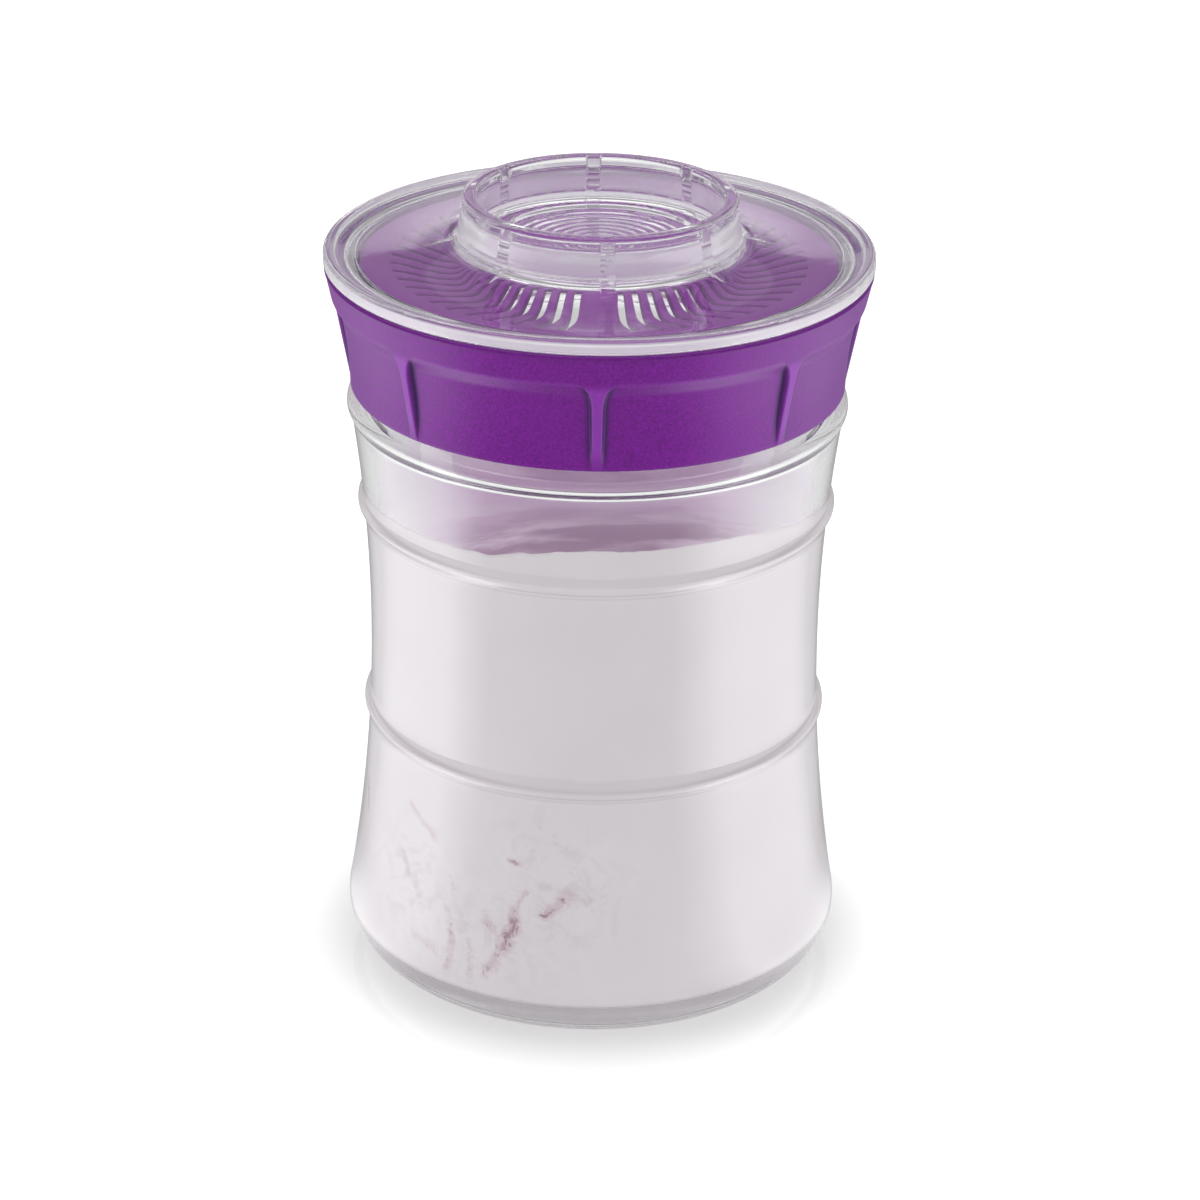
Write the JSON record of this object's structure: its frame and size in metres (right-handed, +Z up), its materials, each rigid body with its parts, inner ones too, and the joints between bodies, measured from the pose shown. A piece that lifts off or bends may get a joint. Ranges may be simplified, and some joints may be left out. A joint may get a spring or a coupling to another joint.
{
  "type": "kefir fermentation jar",
  "caption": "Waisted clear glass jar full of kefir, with a threaded lid ring, a slotted strainer under it and a clear screw-on cover with a measuring cup.",
  "frame": {"origin": "centre of the jar's foot, on the surface that it stands on", "axes": "+Z up the jar's axis; -Y is the front, where one grip rib of the lid ring points"},
  "size_m": [0.115, 0.115, 0.1725],
  "materials": {
    "glass": "clear, fire-polished",
    "kefir": "white cultured milk, soft sheen",
    "silicone": "white silicone",
    "purple": "satin, fine texture",
    "strainer_purple": "smooth moulded plastic",
    "clear_plastic": "clear polished plastic"
  },
  "bodies": {
    "jar": {"glass_jar": "glass", "kefir_fill": "kefir"},
    "gasket": {"lid_gasket": "silicone"},
    "lid": {"lid_ring": "purple", "strainer": "strainer_purple"},
    "seal": {"cover_seal": "silicone"},
    "cover": {"clear_cover": "clear_plastic"}
  },
  "joints": [
    {"name": "lid_rise", "type": "slide", "parent": "jar", "child": "gasket", "axis": [0, 0, 1], "range_m": [0, 0.0201]},
    {"name": "lid_turn", "type": "hinge", "parent": "gasket", "child": "lid", "pos_m": [0, 0, 0.1319], "axis": [0, 0, 1], "range_deg": [0, 480]},
    {"name": "cover_rise", "type": "slide", "parent": "lid", "child": "seal", "axis": [0, 0, 1], "range_m": [0, 0.00605]},
    {"name": "cover_turn", "type": "hinge", "parent": "seal", "child": "cover", "pos_m": [0, 0, 0.15815], "axis": [0, 0, 1], "range_deg": [0, 180]}
  ],
  "couplings": [
    {"joint": "lid_rise", "follows": "lid_turn", "m_per_rad": 0.0023873},
    {"joint": "cover_rise", "follows": "cover_turn", "m_per_rad": 0.0019099}
  ]
}
